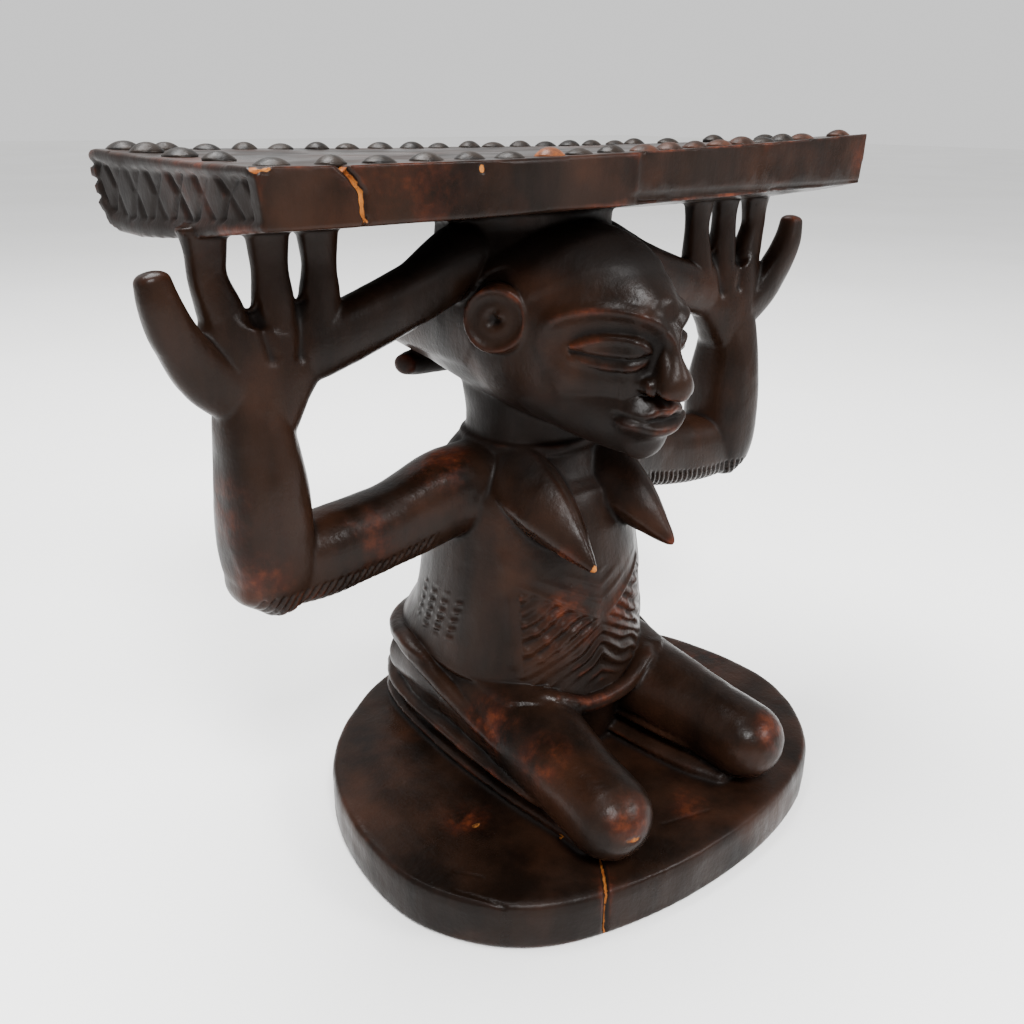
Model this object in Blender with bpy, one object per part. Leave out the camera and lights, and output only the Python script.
"""Headrest: a kneeling figure on a round base holds up a long neck platform with both hands.

One block of wood is carved into base, figure and platform. Dome-headed tacks are driven
into pilot holes around the platform's top. Metres, +Z up. The figure faces -Y, the
platform lies along X, and the origin is on the floor under the middle of the whole.
"""

from math import cos, pi, sin

import bmesh
import bpy
from mathutils import Vector

# Overall sizes
HEIGHT = 0.180  # floor to the platform's top at its -X end
TOP_RISE = 0.0044  # how much higher the front of the +X end is
TOP_TWIST = 0.0056  # how much of that rise the back of the +X end loses
BASE_THICKNESS = 0.0135

# Platform
PLATFORM_LENGTH = 0.187
PLATFORM_DEPTH = 0.092
PLATFORM_FRONT = -0.040  # front face, from the plane of the fingers
PLATFORM_EDGE = 0.0112  # height of the upright front face
HAND_DROP = 0.0050  # how far the underside at the hands hangs below that face
BELLY_DROP = 0.0072  # how far it hangs at its deepest, near the back
BELLY_BACK = 0.020  # deepest line, from the back face
SADDLE_SAG = 0.0006  # dip of the top halfway along
BACK_BULGE = 0.0030  # how far the back face swells
END_TUCK = 0.0012  # how far the ends lean in at the bottom

# Base
BASE_WIDTH = 0.149
BASE_DEPTH = 0.129
BASE_BACK = 0.043  # back of the base, from the plane of the fingers
BASE_WIDEST = -0.032  # where it is widest, from the same plane
BASE_FRONT_SQUARENESS = 2.35  # 2 is an ellipse, as at the back
BASE_ROUNDING = 0.003

# Arms and hands
ARM_Y = -0.005  # middle of the arms, from the plane of the fingers
HAND_INSET = 0.0175  # middle finger, from the platform's end
FINGER_PITCH = 0.0125
FINGER_WIDTH = 0.0104
FINGER_THICKNESS = 0.0066
PALM_THICKNESS = 0.0105
FOREARM_WIDTH = 0.0210
FOREARM_THICKNESS = 0.0245
UPPER_ARM_HEIGHT = 0.0226
UPPER_ARM_THICKNESS = 0.0200
STRUT_HEIGHT = 0.0150
STRUT_THICKNESS = 0.0110
THUMB_WIDTH = 0.0122
THUMB_LEAN = 0.0050  # how far its tip stands in front of the fingers
ROOT = 0.0030  # how deep a limb's end is sunk in what it grows from

# Trunk, head and legs
SHOULDER_HALF = 0.030
CHEST_WIDTH = 0.060
CHEST_DEPTH = 0.056
WAIST_WIDTH = 0.0635
HIP_WIDTH = 0.074
BELT_OVERHANG = 0.0035
NECK_WIDTH = 0.036
HEAD_WIDTH = 0.056
HEAD_HEIGHT = 0.056
HEAD_FRONT = -0.060
HEAD_BACK = 0.046
CROWN_WIDTH = 0.048
HAIR_ROLL = 0.0075
BREAST_RADIUS = 0.0125
BREAST_SPACING = 0.029
KNEE_SPACING = 0.053
KNEE_RADIUS = 0.0112
KNEE_FRONT = -0.0825
THIGH_RADIUS = 0.0160
CALF_RADIUS = 0.0078

# Levels of the figure, as shares of the height between the base and the underside above the hands.
# It is carved to fill that height, so its joints move with it.
HIP_LEVEL = 0.13
BELT_LEVEL = 0.165
WAIST_LEVEL = 0.36
BREAST_LEVEL = 0.455
ELBOW_LEVEL = 0.475
SHOULDER_LEVEL = 0.535
NECK_LEVEL = 0.60
WRIST_LEVEL = 0.755
HEAD_LEVEL = 0.820
HAIR_ROLL_LEVEL = 0.715
FINGER_ROOT_LEVEL = 0.885
STRUT_LEVEL = 0.845

# Tacks
TACK_HEAD_DIAMETER = 0.0070
TACK_HEAD_HEIGHT = 0.0023
TACK_SHANK_DIAMETER = 0.0014
TACK_SHANK_LENGTH = 0.0065
TACK_SIDES = 8
TACKS_PER_ROW = 18
TACKS_BETWEEN_CORNERS = 3
TACK_INSET = 0.0060  # row, from the platform's faces
TACK_WANDER = 0.0004  # how far a hand-driven row strays
FRONT_ROW_CLOSING = 0.25  # how much the front row closes up towards +X
FRONT_ROW_LAST_GAP = 0.19  # its last gap, as a share of the row's half length
END_ROW_SHIFT = 0.0050  # how far the tacks across the ends stand behind an even spacing
FIT_CLEARANCE = 0.0003

WOOD_COLOUR = (0.045, 0.022, 0.014, 1.0)
METAL_COLOUR = (0.085, 0.055, 0.032, 1.0)

# Places that follow from the sizes above
PLATFORM_BACK = PLATFORM_FRONT + PLATFORM_DEPTH
BASE_FRONT = BASE_BACK - BASE_DEPTH
MIDDLE_Y = (BASE_FRONT + PLATFORM_BACK + BACK_BULGE) / 2
RIM_Z = HEIGHT - PLATFORM_EDGE
HAND_Z = RIM_Z - HAND_DROP
FIGURE_HEIGHT = HAND_Z - BASE_THICKNESS
HAND_X = PLATFORM_LENGTH / 2 - HAND_INSET
FOREARM_X = HAND_X + FINGER_PITCH / 2

# How finely shapes are drawn
PLATFORM_STATIONS = 18
BASE_SIDES = 40
TRUNK_SIDES = 24
LIMB_SIDES = 14
SMALL_SIDES = 10

ALONG = Vector((1, 0, 0))
UP = Vector((0, 0, 1))


def clear_scene():
    for item in list(bpy.data.objects):
        bpy.data.objects.remove(item)


def material(name, colour, roughness, metallic):
    made = bpy.data.materials.new(name)
    made.use_nodes = True
    shader = made.node_tree.nodes["Principled BSDF"]
    shader.inputs["Base Color"].default_value = colour
    shader.inputs["Roughness"].default_value = roughness
    shader.inputs["Metallic"].default_value = metallic
    return made


def at(x, y, level):
    """A point of the figure: y from the plane of the fingers, level as a share of its height."""
    return Vector((x, y - MIDDLE_Y, BASE_THICKNESS + level * FIGURE_HEIGHT))


def object_from_rings(name, rings, collection):
    """A closed solid through rings of points, each with the same count, with flat ends."""
    mesh = bpy.data.meshes.new(name)
    work = bmesh.new()
    loops = [[work.verts.new(point) for point in ring] for ring in rings]
    count = len(loops[0])
    for lower, upper in zip(loops, loops[1:]):
        for i in range(count):
            j = (i + 1) % count
            work.faces.new((lower[i], lower[j], upper[j], upper[i]))
    work.faces.new(loops[0])
    work.faces.new(loops[-1])
    bmesh.ops.recalc_face_normals(work, faces=work.faces)
    work.to_mesh(mesh)
    work.free()
    mesh.shade_smooth()
    mesh.set_sharp_from_angle(angle=pi / 4)
    made = bpy.data.objects.new(name, mesh)
    collection.objects.link(made)
    return made


def ring_across(centre, tangent, across, half_a, half_b, sides):
    """An ellipse square to tangent, with half_a along across and half_b the other way."""
    tangent = tangent.normalized()
    first = (across - across.dot(tangent) * tangent).normalized()
    second = tangent.cross(first)
    angles = [2 * pi * i / sides for i in range(sides)]
    return [centre + cos(a) * half_a * first + sin(a) * half_b * second for a in angles]


def limb(name, stations, across, collection, sides=LIMB_SIDES):
    """A tapering limb. Each station is (centre, full size along across, full size the other way)."""
    centres = [station[0] for station in stations]
    rings = []
    for i, (centre, size_a, size_b) in enumerate(stations):
        tangent = centres[min(i + 1, len(centres) - 1)] - centres[max(i - 1, 0)]
        rings.append(ring_across(centre, tangent, across, size_a / 2, size_b / 2, sides))
    return object_from_rings(name, rings, collection)


def level_ring(centre, half_x, half_y, sides, squareness=2.0):
    """A level closed curve, from an ellipse at squareness 2 to a rounded oblong above it."""
    points = []
    for i in range(sides):
        angle = 2 * pi * i / sides
        c, s = cos(angle), sin(angle)
        x = half_x * abs(c) ** (2 / squareness) * (1 if c >= 0 else -1)
        y = half_y * abs(s) ** (2 / squareness) * (1 if s >= 0 else -1)
        points.append(centre + Vector((x, y, 0)))
    return points


def stack(name, levels, collection, sides=TRUNK_SIDES):
    """A solid of level rings. Each entry is (centre, full width, full depth)."""
    rings = [level_ring(c, w / 2, d / 2, sides) for c, w, d in levels]
    return object_from_rings(name, rings, collection)


def top_z(x, y):
    """Height of the platform's top. It sags a little, climbs towards +X and twists down at the back."""
    along = x / (PLATFORM_LENGTH / 2)
    across = (y - PLATFORM_FRONT) / PLATFORM_DEPTH
    climb = (TOP_RISE - TOP_TWIST * across) * ((along + 1) / 2) ** 1.6
    return HEIGHT + climb - SADDLE_SAG * max(0.0, 1 - along * along)


def platform_shape(collection):
    """Cross-sections along X: flat top, upright front, an underside deepest near the back."""
    half = PLATFORM_LENGTH / 2
    deepest = PLATFORM_BACK - BELLY_BACK
    rings = []
    for i in range(PLATFORM_STATIONS + 1):
        share = -1 + 2 * i / PLATFORM_STATIONS
        x = share * half
        lean = END_TUCK * share
        front_top = top_z(x, PLATFORM_FRONT)
        back_top = top_z(x, PLATFORM_BACK)
        rise = (front_top - HEIGHT) / 2
        belly_z = RIM_Z - BELLY_DROP
        profile = (
            (x, PLATFORM_FRONT, front_top),
            (x, PLATFORM_BACK, back_top),
            (x - lean / 2, PLATFORM_BACK + BACK_BULGE, (back_top + RIM_Z) / 2),
            (x - lean, PLATFORM_BACK, (RIM_Z + belly_z) / 2 + rise),
            (x - lean, PLATFORM_BACK - BELLY_BACK / 3, belly_z + rise / 2),
            (x - lean, deepest, belly_z),
            (x - lean, 0.0, HAND_Z),
            (x - lean, PLATFORM_FRONT, RIM_Z + rise),
        )
        rings.append([Vector((px, py - MIDDLE_Y, pz)) for px, py, pz in profile])
    return object_from_rings("platform_shape", rings, collection)


def base_shape(collection):
    """An egg-shaped slab, blunter in front, with a rounded upper edge."""
    steps = (
        (0.0, BASE_ROUNDING / 3),
        (BASE_ROUNDING / 3, 0.0),
        (BASE_THICKNESS - BASE_ROUNDING, 0.0),
        (BASE_THICKNESS - BASE_ROUNDING / 3, BASE_ROUNDING / 3),
        (BASE_THICKNESS, BASE_ROUNDING),
    )
    rings = []
    for z, inset in steps:
        centre = Vector((0, BASE_WIDEST - MIDDLE_Y, z))
        half_width = BASE_WIDTH / 2 - inset
        front = BASE_WIDEST - BASE_FRONT - inset
        back = BASE_BACK - BASE_WIDEST - inset
        blunt = level_ring(centre, half_width, front, BASE_SIDES, BASE_FRONT_SQUARENESS)
        round_back = level_ring(centre, half_width, back, BASE_SIDES)
        half = BASE_SIDES // 2
        rings.append(round_back[:half] + blunt[half:])
    return object_from_rings("base_shape", rings, collection)


def trunk_shape(collection):
    sunk = -ROOT / FIGURE_HEIGHT
    levels = (
        (at(0, -0.002, sunk), HIP_WIDTH * 0.86, HIP_WIDTH * 0.86),
        (at(0, -0.001, HIP_LEVEL * 0.55), HIP_WIDTH * 0.98, HIP_WIDTH * 0.96),
        (at(0, -0.001, HIP_LEVEL), HIP_WIDTH, HIP_WIDTH),
        (at(0, -0.004, (HIP_LEVEL + WAIST_LEVEL) / 2), WAIST_WIDTH * 1.05, WAIST_WIDTH * 1.04),
        (at(0, -0.005, WAIST_LEVEL), WAIST_WIDTH, WAIST_WIDTH * 0.98),
        (at(0, -0.005, BREAST_LEVEL), CHEST_WIDTH, CHEST_DEPTH),
        (at(0, -0.004, SHOULDER_LEVEL), 2 * SHOULDER_HALF, CHEST_DEPTH * 0.88),
        (at(0, -0.004, (SHOULDER_LEVEL + NECK_LEVEL) / 2), SHOULDER_HALF * 1.8, CHEST_DEPTH * 0.74),
        (at(0, -0.004, NECK_LEVEL), NECK_WIDTH * 1.12, NECK_WIDTH * 1.05),
    )
    return stack("trunk_shape", levels, collection)


def belt_shape(collection):
    width = HIP_WIDTH + 2 * BELT_OVERHANG
    half_step = 0.022
    levels = (
        (at(0, -0.002, BELT_LEVEL - half_step), HIP_WIDTH * 0.96, HIP_WIDTH * 0.95),
        (at(0, -0.002, BELT_LEVEL - half_step / 2), width, width * 0.98),
        (at(0, -0.002, BELT_LEVEL + half_step / 2), width * 0.98, width * 0.96),
        (at(0, -0.002, BELT_LEVEL + half_step), HIP_WIDTH * 0.92, HIP_WIDTH * 0.92),
    )
    return stack("belt_shape", levels, collection)


def neck_shape(collection):
    levels = (
        (at(0, -0.004, NECK_LEVEL - 0.03), NECK_WIDTH * 1.1, NECK_WIDTH * 1.05),
        (at(0, -0.004, NECK_LEVEL + 0.05), NECK_WIDTH, NECK_WIDTH),
        (at(0, -0.003, HEAD_LEVEL - 0.10), NECK_WIDTH * 1.05, NECK_WIDTH * 1.15),
    )
    return stack("neck_shape", levels, collection)


def head_shape(collection):
    """Rings along Y, from the rolled hair at the back to the front of the face."""
    length = HEAD_FRONT - HEAD_BACK
    # share of the length, lift over the head's level, share of width, share of height
    rings = (
        (0.00, -0.015, 0.34, 0.30),
        (0.05, -0.010, 0.66, 0.60),
        (0.20, -0.005, 0.94, 0.88),
        (0.45, 0.000, 1.00, 0.98),
        (0.66, -0.010, 0.96, 0.96),
        (0.82, -0.030, 0.82, 0.86),
        (0.92, -0.050, 0.64, 0.72),
        (1.00, -0.070, 0.36, 0.46),
    )
    stations = [
        (at(0, HEAD_BACK + share * length, HEAD_LEVEL + lift), HEAD_WIDTH * w, HEAD_HEIGHT * h)
        for share, lift, w, h in rings
    ]
    return limb("head_shape", stations, ALONG, collection, TRUNK_SIDES)


def crown_shape(collection):
    """The block of hair that carries the platform."""
    into = ROOT / FIGURE_HEIGHT
    levels = (
        (at(0, -0.008, HEAD_LEVEL + 0.02), CROWN_WIDTH * 0.95, CROWN_WIDTH * 1.15),
        (at(0, -0.008, 1 - 0.03), CROWN_WIDTH * 0.95, CROWN_WIDTH * 1.10),
        (at(0, -0.008, 1 + into), CROWN_WIDTH * 1.05, CROWN_WIDTH * 1.15),
    )
    return stack("crown_shape", levels, collection, 16)


def hair_roll_shape(collection):
    """The rolled end of the hair, lying across the nape."""
    half = HEAD_WIDTH * 0.36
    stations = [
        (at(share * half, HEAD_BACK - 0.014 - 0.003 * abs(share), HAIR_ROLL_LEVEL), size, size)
        for share, size in (
            (-1.06, HAIR_ROLL * 0.6),
            (-1, HAIR_ROLL),
            (0, HAIR_ROLL * 1.2),
            (1, HAIR_ROLL),
            (1.06, HAIR_ROLL * 0.6),
        )
    ]
    return limb("hair_roll_shape", stations, UP, collection, SMALL_SIDES)


def ear_shape(side, collection):
    inner = at(side * HEAD_WIDTH * 0.36, -0.020, HEAD_LEVEL + 0.02)
    outer = at(side * (HEAD_WIDTH / 2 + 0.0025), -0.021, HEAD_LEVEL + 0.02)
    stations = ((inner, 0.0165, 0.0165), (outer, 0.0150, 0.0150))
    return limb(f"ear_shape_{side}", stations, UP, collection, SMALL_SIDES)


def breast_shape(side, collection):
    x = side * BREAST_SPACING / 2
    depth = CHEST_DEPTH / 2
    stations = (
        (at(x, -depth * 0.55, BREAST_LEVEL + 0.085), BREAST_RADIUS * 2, BREAST_RADIUS * 2.2),
        (at(x, -depth * 1.05, BREAST_LEVEL + 0.055), BREAST_RADIUS * 1.75, BREAST_RADIUS * 1.9),
        (at(x, -depth * 1.40, BREAST_LEVEL + 0.025), BREAST_RADIUS * 1.0, BREAST_RADIUS * 1.1),
        (at(x, -depth * 1.68, BREAST_LEVEL), BREAST_RADIUS * 0.22, BREAST_RADIUS * 0.22),
    )
    return limb(f"breast_shape_{side}", stations, ALONG, collection, SMALL_SIDES)


def arm_limb(name, side, route, across, collection, sides=LIMB_SIDES):
    """A limb in the plane of the arms. Each stop is (x, level, size along across, size along Y)."""
    stations = [(at(side * x, ARM_Y, level), wide, deep) for x, level, wide, deep in route]
    return limb(f"{name}_{side}", stations, across, collection, sides)


def upper_arm_shape(side, collection):
    """Nearly level, from inside the shoulder to the elbow."""
    high = UPPER_ARM_HEIGHT
    deep = UPPER_ARM_THICKNESS
    below_shoulder = SHOULDER_LEVEL - 0.035
    above_elbow = ELBOW_LEVEL + 0.005
    elbow_x = FOREARM_X + FOREARM_WIDTH / 2
    route = (
        (SHOULDER_HALF * 0.6, SHOULDER_LEVEL, high * 1.05, deep * 1.3),
        (SHOULDER_HALF, SHOULDER_LEVEL, high * 1.1, deep * 1.2),
        (SHOULDER_HALF + high * 0.8, below_shoulder, high, deep),
        (FOREARM_X - FOREARM_WIDTH / 2, above_elbow, high, deep),
        (FOREARM_X + FOREARM_WIDTH * 0.2, above_elbow, high * 0.85, deep * 0.9),
        (elbow_x - ROOT / 2, above_elbow, high * 0.45, deep * 0.5),
    )
    return arm_limb("upper_arm_shape", side, route, UP, collection)


def forearm_shape(side, collection):
    """Upright, from the point of the elbow into the palm."""
    wide = FOREARM_WIDTH
    deep = FOREARM_THICKNESS
    route = (
        (FOREARM_X - ROOT / 2, ELBOW_LEVEL - 0.070, wide * 0.5, deep * 0.5),
        (FOREARM_X - ROOT / 3, ELBOW_LEVEL - 0.045, wide * 0.9, deep * 0.85),
        (FOREARM_X, ELBOW_LEVEL + 0.03, wide * 1.1, deep * 1.05),
        (FOREARM_X, (ELBOW_LEVEL + WRIST_LEVEL) / 2, wide * 1.05, deep),
        (FOREARM_X, WRIST_LEVEL, wide * 0.98, deep * 0.8),
        (FOREARM_X - ROOT / 3, (WRIST_LEVEL + FINGER_ROOT_LEVEL) / 2, wide, PALM_THICKNESS),
    )
    return arm_limb("forearm_shape", side, route, ALONG, collection)


def palm_shape(side, collection):
    wide = 3 * FINGER_PITCH
    thick = PALM_THICKNESS
    route = (
        (FOREARM_X, WRIST_LEVEL - 0.02, FOREARM_WIDTH * 0.8, thick),
        ((HAND_X + FOREARM_X) / 2, (WRIST_LEVEL + FINGER_ROOT_LEVEL) / 2, wide * 0.86, thick),
        (HAND_X, FINGER_ROOT_LEVEL, wide, thick * 0.9),
        (HAND_X, FINGER_ROOT_LEVEL + 0.02, wide * 0.9, thick * 0.6),
    )
    return arm_limb("palm_shape", side, route, ALONG, collection)


def finger_shapes(side, collection):
    """Three fingers that spread from the palm up into the underside of the platform."""
    into = ROOT / FIGURE_HEIGHT
    wide = FINGER_WIDTH
    thick = FINGER_THICKNESS
    for number, offset in enumerate((-1, 0, 1)):
        tip_x = HAND_X + offset * FINGER_PITCH
        root_x = HAND_X + offset * FINGER_PITCH * 0.86
        route = (
            (root_x, FINGER_ROOT_LEVEL - 0.04, wide, thick),
            (tip_x, FINGER_ROOT_LEVEL + 0.03, wide * 0.92, thick),
            (tip_x, 1 + into, wide, thick * 1.1),
        )
        arm_limb(f"finger_shape_{number}", side, route, ALONG, collection, SMALL_SIDES)


def thumb_shape(side, collection):
    """It stands free beyond the platform's end, leans forward and thins towards its tip."""
    root_x = HAND_X + FINGER_PITCH
    wide = THUMB_WIDTH
    # steps out in thumb widths, rise over the wrist, share of the lean, width and thickness
    route = (
        (-0.50, 0.005, 0.0, 1.20, 0.75),
        (0.37, 0.060, 0.5, 1.20, 0.75),
        (0.90, 0.130, 0.9, 1.05, 0.70),
        (1.15, 0.185, 1.0, 0.85, 0.62),
        (1.15, 0.212, 1.0, 0.50, 0.40),
    )
    stations = []
    for out, rise, lean, broad, thick in route:
        x = side * (root_x + out * wide)
        centre = at(x, ARM_Y - lean * THUMB_LEAN, WRIST_LEVEL + rise)
        stations.append((centre, broad * wide, thick * wide))
    return limb(f"thumb_shape_{side}", stations, ALONG, collection, SMALL_SIDES)


def strut_shape(side, collection):
    """The heel of the hand runs on, thick, up to the side of the crown."""
    high = STRUT_HEIGHT
    thick = STRUT_THICKNESS
    route = (
        (HAND_X - ROOT, STRUT_LEVEL - 0.04, high, thick * 0.9),
        (HAND_X - 1.45 * FINGER_PITCH, STRUT_LEVEL, high, thick),
        (HEAD_WIDTH / 2 + high / 2, STRUT_LEVEL + 0.050, high, thick * 1.3),
        (CROWN_WIDTH * 0.42, STRUT_LEVEL + 0.105, high, thick * 1.9),
    )
    return arm_limb("strut_shape", side, route, UP, collection)


def thigh_shape(side, collection):
    knee = KNEE_RADIUS * 2
    thigh = THIGH_RADIUS * 2
    drop = KNEE_RADIUS - 0.001
    knee_z = Vector((0, 0, BASE_THICKNESS + drop))
    hip = at(side * 0.019, -0.008, HIP_LEVEL)
    knee_at = Vector((side * KNEE_SPACING / 2, KNEE_FRONT + KNEE_RADIUS - MIDDLE_Y, 0)) + knee_z
    tip = knee_at + Vector((side * 0.001, -KNEE_RADIUS * 0.9, 0.0))
    stations = (
        (hip, thigh, thigh),
        (hip.lerp(knee_at, 0.45), thigh * 0.92, thigh * 0.86),
        (hip.lerp(knee_at, 0.85), knee * 1.08, knee * 1.05),
        (knee_at, knee, knee),
        (knee_at.lerp(tip, 0.6), knee * 0.8, knee * 0.8),
        (tip, knee * 0.35, knee * 0.35),
    )
    return limb(f"thigh_shape_{side}", stations, ALONG, collection)


def calf_shape(side, collection):
    calf = CALF_RADIUS * 2
    lift = Vector((0, 0, BASE_THICKNESS + CALF_RADIUS - 0.0015))
    knee_x = side * KNEE_SPACING / 2
    route = (
        (knee_x + side * 0.002, KNEE_FRONT + KNEE_RADIUS + 0.003, 0.7),
        (side * (HIP_WIDTH / 2 - 0.003), -0.040, 1.0),
        (side * (HIP_WIDTH / 2 - 0.002), -0.005, 1.15),
        (side * (HIP_WIDTH / 2 - 0.006), 0.020, 1.0),
        (side * (HIP_WIDTH / 2 - 0.016), 0.034, 0.8),
    )
    stations = [
        (Vector((x, y - MIDDLE_Y, 0)) + lift, calf * share, calf * share) for x, y, share in route
    ]
    return limb(f"calf_shape_{side}", stations, ALONG, collection)


def front_row(half):
    """Places along the front row. The gaps close up towards +X as far as the heads leave room."""
    steps = TACKS_PER_ROW - 2
    reach = half * (2 - FRONT_ROW_LAST_GAP)
    head_room = TACK_HEAD_DIAMETER + 2 * TACK_WANDER + FIT_CLEARANCE
    closing = min(FRONT_ROW_CLOSING, 1 - head_room * steps / reach)
    shares = [i / steps for i in range(steps + 1)]
    return [reach * (t + closing * t * (1 - t)) - half for t in shares] + [half]


def tack_places():
    """(name, x, y) of each tack: two long rows, and a few across each end."""
    rows = []
    half = PLATFORM_LENGTH / 2 - TACK_INSET
    front = PLATFORM_FRONT + TACK_INSET
    back = PLATFORM_BACK - TACK_INSET
    pitch = 2 * half / (TACKS_PER_ROW - 1)
    for i, x in enumerate(front_row(half)):
        stray = TACK_WANDER * sin(2.3 * i)
        rows.append((f"tack_front_{i + 1:02d}", x + stray, front + TACK_WANDER * cos(1.7 * i)))
        rows.append((f"tack_back_{i + 1:02d}", i * pitch - half - stray, back + TACK_WANDER * cos(2.9 * i)))
    gap = (back - front) / (TACKS_BETWEEN_CORNERS + 1)
    for i in range(TACKS_BETWEEN_CORNERS):
        y = front + (i + 1) * gap + END_ROW_SHIFT
        rows.append((f"tack_left_end_{i + 1}", -half + TACK_WANDER * cos(i), y))
        rows.append((f"tack_right_end_{i + 1}", half - TACK_WANDER * cos(i), y))
    return rows


def square_to_top(x, y):
    """The top's own right, back and up directions at x, y."""
    step = PLATFORM_LENGTH / 400
    slope_x = (top_z(x + step, y) - top_z(x - step, y)) / (2 * step)
    slope_y = (top_z(x, y + step) - top_z(x, y - step)) / (2 * step)
    up = Vector((-slope_x, -slope_y, 1)).normalized()
    right = Vector((0, 1, 0)).cross(up).normalized()
    return right, up.cross(right), up


def turned_rings(profile, x, y):
    """Rings of a turned piece that stands square to the platform's top at x, y."""
    right, back, up = square_to_top(x, y)
    foot = Vector((x, y - MIDDLE_Y, top_z(x, y)))
    rings = []
    for height, radius in profile:
        centre = foot + up * height
        angles = [2 * pi * i / TACK_SIDES for i in range(TACK_SIDES)]
        rings.append([centre + radius * (cos(a) * right + sin(a) * back) for a in angles])
    return rings


def tack_object(name, x, y, collection):
    head = TACK_HEAD_DIAMETER / 2
    shank = TACK_SHANK_DIAMETER / 2
    crown = FIT_CLEARANCE + TACK_HEAD_HEIGHT
    profile = (
        (-TACK_SHANK_LENGTH, shank * 0.35),
        (-TACK_SHANK_LENGTH * 0.75, shank),
        (FIT_CLEARANCE, shank),
        (FIT_CLEARANCE, head),
        (FIT_CLEARANCE + TACK_HEAD_HEIGHT * 0.55, head * 0.80),
        (crown, head * 0.30),
    )
    return object_from_rings(name, turned_rings(profile, x, y), collection)


def pilot_hole(name, x, y, collection):
    radius = TACK_SHANK_DIAMETER / 2 + FIT_CLEARANCE
    profile = ((-TACK_SHANK_LENGTH - FIT_CLEARANCE, radius), (TACK_HEAD_HEIGHT, radius))
    return object_from_rings(name, turned_rings(profile, x, y), collection)


def boolean(target, name, operation, collection):
    modifier = target.modifiers.new(name, "BOOLEAN")
    modifier.operation = operation
    modifier.solver = "EXACT"
    modifier.operand_type = "COLLECTION"
    modifier.collection = collection


def helper_collection(name):
    made = bpy.data.collections.new(name)
    bpy.context.scene.collection.children.link(made)
    return made


def hide_helpers(collection):
    for item in collection.objects:
        item.hide_render = True
        item.display_type = "WIRE"


def carve_body(scene_collection):
    """The one block: base, figure and platform grown together, then drilled for the tacks."""
    body = base_shape(scene_collection)
    body.name = "carved_body"
    shapes = helper_collection("figure_shapes")
    platform_shape(shapes)
    trunk_shape(shapes)
    belt_shape(shapes)
    neck_shape(shapes)
    head_shape(shapes)
    crown_shape(shapes)
    hair_roll_shape(shapes)
    for side in (-1, 1):
        ear_shape(side, shapes)
        breast_shape(side, shapes)
        upper_arm_shape(side, shapes)
        forearm_shape(side, shapes)
        palm_shape(side, shapes)
        finger_shapes(side, shapes)
        thumb_shape(side, shapes)
        strut_shape(side, shapes)
        thigh_shape(side, shapes)
        calf_shape(side, shapes)
    holes = helper_collection("pilot_holes")
    for name, x, y in tack_places():
        pilot_hole(f"hole_for_{name}", x, y, holes)
    hide_helpers(shapes)
    hide_helpers(holes)
    boolean(body, "grow_figure", "UNION", shapes)
    boolean(body, "drill_holes", "DIFFERENCE", holes)
    return body


def build():
    clear_scene()
    scene_collection = bpy.context.scene.collection
    wood = material("dark_wood", WOOD_COLOUR, 0.38, 0.0)
    metal = material("aged_brass", METAL_COLOUR, 0.45, 1.0)
    body = carve_body(scene_collection)
    body.data.materials.append(wood)
    for name, x, y in tack_places():
        tack = tack_object(name, x, y, scene_collection)
        tack.data.materials.append(metal)


build()
